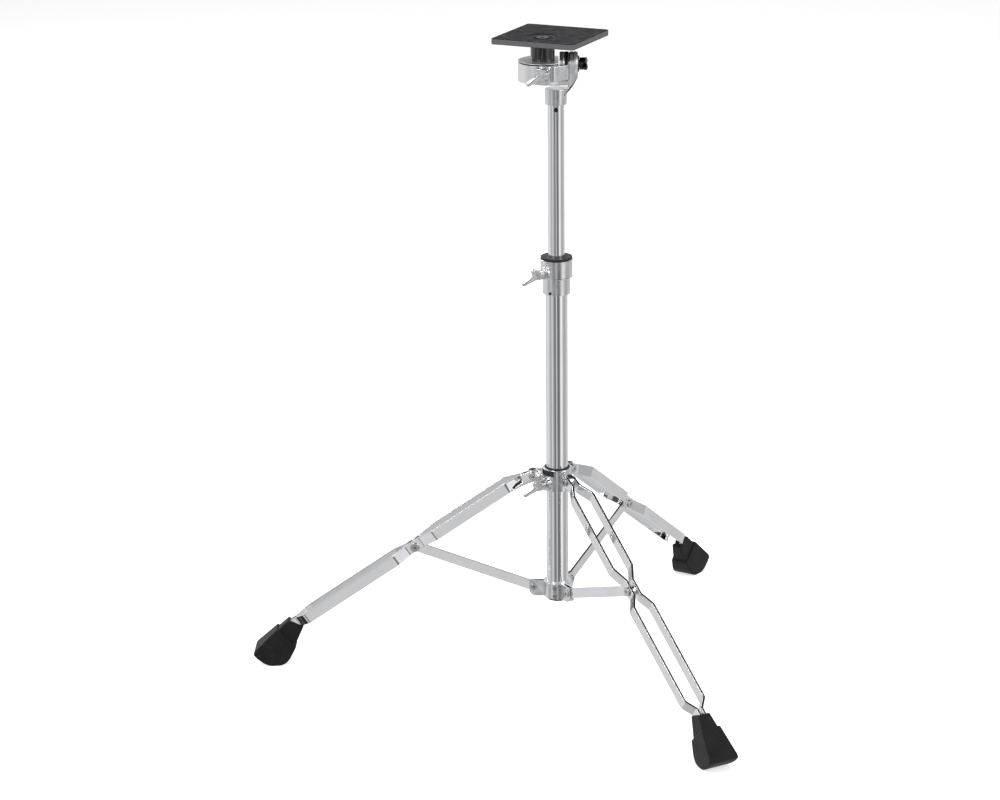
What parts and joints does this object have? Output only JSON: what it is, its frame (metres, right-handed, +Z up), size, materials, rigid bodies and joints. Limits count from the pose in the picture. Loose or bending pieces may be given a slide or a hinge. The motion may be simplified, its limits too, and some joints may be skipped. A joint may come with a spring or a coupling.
{
  "type": "practice pad stand",
  "caption": "Folding chrome tripod stand with a square mounting plate on a tilting, turning clamp and a height-adjustable tube.",
  "frame": {"origin": "on the floor, under the middle of the stand's bounding box; the mast axis stands 82 mm from it along +X", "axes": "+Z up along the mast; -Y is the front; leg a points along -X"},
  "size_m": [0.5553, 0.6412, 0.7495],
  "materials": {
    "chrome_tube": "polished chrome plate on steel tube",
    "chrome_strip": "chrome plate on pressed steel strip",
    "chrome_cast": "chrome plate on die-cast metal",
    "zinc_fastener": "bright zinc",
    "satin_block": "satin turned aluminium",
    "black_plate": "satin black powder coat",
    "black_post": "gloss black",
    "dark_steel": "black oxide steel",
    "nylon": "matt black nylon",
    "rubber_boot": "matt black moulded rubber"
  },
  "bodies": {
    "stand": {"lower_tube": "chrome_tube", "tube_end_cap": "nylon", "height_clamp": "chrome_cast", "clamp_bushing": "nylon", "clamp_nut": "zinc_fastener", "brace_bracket": "chrome_cast", "bracket_pins": "zinc_fastener", "bracket_screws": "zinc_fastener"},
    "height_screw": {"height_wing": "chrome_cast"},
    "extension": {"upper_tube": "chrome_tube", "tube_guide": "nylon", "stop_screw": "dark_steel"},
    "swivel": {"tilter_base": "chrome_cast", "tilt_bolt": "zinc_fastener", "tilt_washer": "dark_steel"},
    "tilt_screw": {"tilt_wing": "dark_steel"},
    "head": {"tilt_cradle": "chrome_cast", "clamp_block": "satin_block", "block_rim": "black_post"},
    "post_screw": {"post_wing": "chrome_cast"},
    "plate_post": {"post": "black_post", "plate": "black_plate", "post_bolt": "dark_steel"},
    "collar": {"leg_collar": "chrome_cast", "collar_bushing": "nylon", "hinge_pins": "zinc_fastener"},
    "collar_screw": {"collar_wing": "chrome_cast"},
    "leg_a": {"strip_a_front": "chrome_strip", "strip_a_back": "chrome_strip", "rivets_a": "zinc_fastener", "boot_a": "rubber_boot"},
    "brace_a": {"brace_a": "chrome_strip"},
    "leg_b": {"strip_b_front": "chrome_strip", "strip_b_back": "chrome_strip", "rivets_b": "zinc_fastener", "boot_b": "rubber_boot"},
    "brace_b": {"brace_b": "chrome_strip"},
    "leg_c": {"strip_c_front": "chrome_strip", "strip_c_back": "chrome_strip", "rivets_c": "zinc_fastener", "boot_c": "rubber_boot"},
    "brace_c": {"brace_c": "chrome_strip"}
  },
  "joints": [
    {"name": "height", "type": "slide", "parent": "stand", "child": "extension", "axis": [0, 0, 1], "range_m": [-0.15, 0.15]},
    {"name": "swivel_turn", "type": "hinge", "parent": "extension", "child": "swivel", "pos_m": [0.082, 0, 0.6735], "axis": [0, 0, 1], "continuous": true},
    {"name": "tilt", "type": "hinge", "parent": "swivel", "child": "head", "pos_m": [0.082, 0, 0.7165], "axis": [1, 0, 0], "range_deg": [-90, 30]},
    {"name": "plate_turn", "type": "hinge", "parent": "head", "child": "plate_post", "pos_m": [0.0675, -0.01, 0.7235], "axis": [0, 0, 1], "continuous": true},
    {"name": "tilt_lock", "type": "hinge", "parent": "swivel", "child": "tilt_screw", "pos_m": [0.11, 0, 0.7165], "axis": [1, 0, 0], "continuous": true},
    {"name": "post_lock", "type": "hinge", "parent": "head", "child": "post_screw", "pos_m": [0.07993, -0.03007, 0.712], "axis": [-0.7071, -0.7071, 0], "continuous": true},
    {"name": "height_lock", "type": "hinge", "parent": "stand", "child": "height_screw", "pos_m": [0.06079, -0.02121, 0.479], "axis": [-0.7071, -0.7071, 0], "continuous": true},
    {"name": "leg_spread", "type": "slide", "parent": "stand", "child": "collar", "axis": [0, 0, 1], "range_m": [0, 0.17156]},
    {"name": "collar_lock", "type": "hinge", "parent": "collar", "child": "collar_screw", "pos_m": [0.06079, -0.02121, 0.2265], "axis": [-0.7071, -0.7071, 0], "continuous": true},
    {"name": "leg_a_fold", "type": "hinge", "parent": "collar", "child": "leg_a", "pos_m": [0.054, 0, 0.2335], "axis": [0, -1, 0], "range_deg": [0, 51.7]},
    {"name": "brace_a_fold", "type": "hinge", "parent": "stand", "child": "brace_a", "pos_m": [0.054, 0, 0.0955], "axis": [0, 1, 0], "range_deg": [0, 63.38]},
    {"name": "leg_b_fold", "type": "hinge", "parent": "collar", "child": "leg_b", "pos_m": [0.096, 0.02425, 0.2335], "axis": [-0.866, 0.5, 0], "range_deg": [0, 51.7]},
    {"name": "brace_b_fold", "type": "hinge", "parent": "stand", "child": "brace_b", "pos_m": [0.096, 0.02425, 0.0955], "axis": [0.866, -0.5, 0], "range_deg": [0, 63.38]},
    {"name": "leg_c_fold", "type": "hinge", "parent": "collar", "child": "leg_c", "pos_m": [0.096, -0.02425, 0.2335], "axis": [0.866, 0.5, 0], "range_deg": [0, 51.7]},
    {"name": "brace_c_fold", "type": "hinge", "parent": "stand", "child": "brace_c", "pos_m": [0.096, -0.02425, 0.0955], "axis": [-0.866, -0.5, 0], "range_deg": [0, 63.38]}
  ],
  "couplings": [
    {"joint": "leg_a_fold", "follows": "leg_spread", "rad_per_m": 5.2584},
    {"joint": "brace_a_fold", "follows": "leg_spread", "rad_per_m": 6.4461},
    {"joint": "leg_b_fold", "follows": "leg_spread", "rad_per_m": 5.2584},
    {"joint": "brace_b_fold", "follows": "leg_spread", "rad_per_m": 6.4461},
    {"joint": "leg_c_fold", "follows": "leg_spread", "rad_per_m": 5.2584},
    {"joint": "brace_c_fold", "follows": "leg_spread", "rad_per_m": 6.4461}
  ]
}
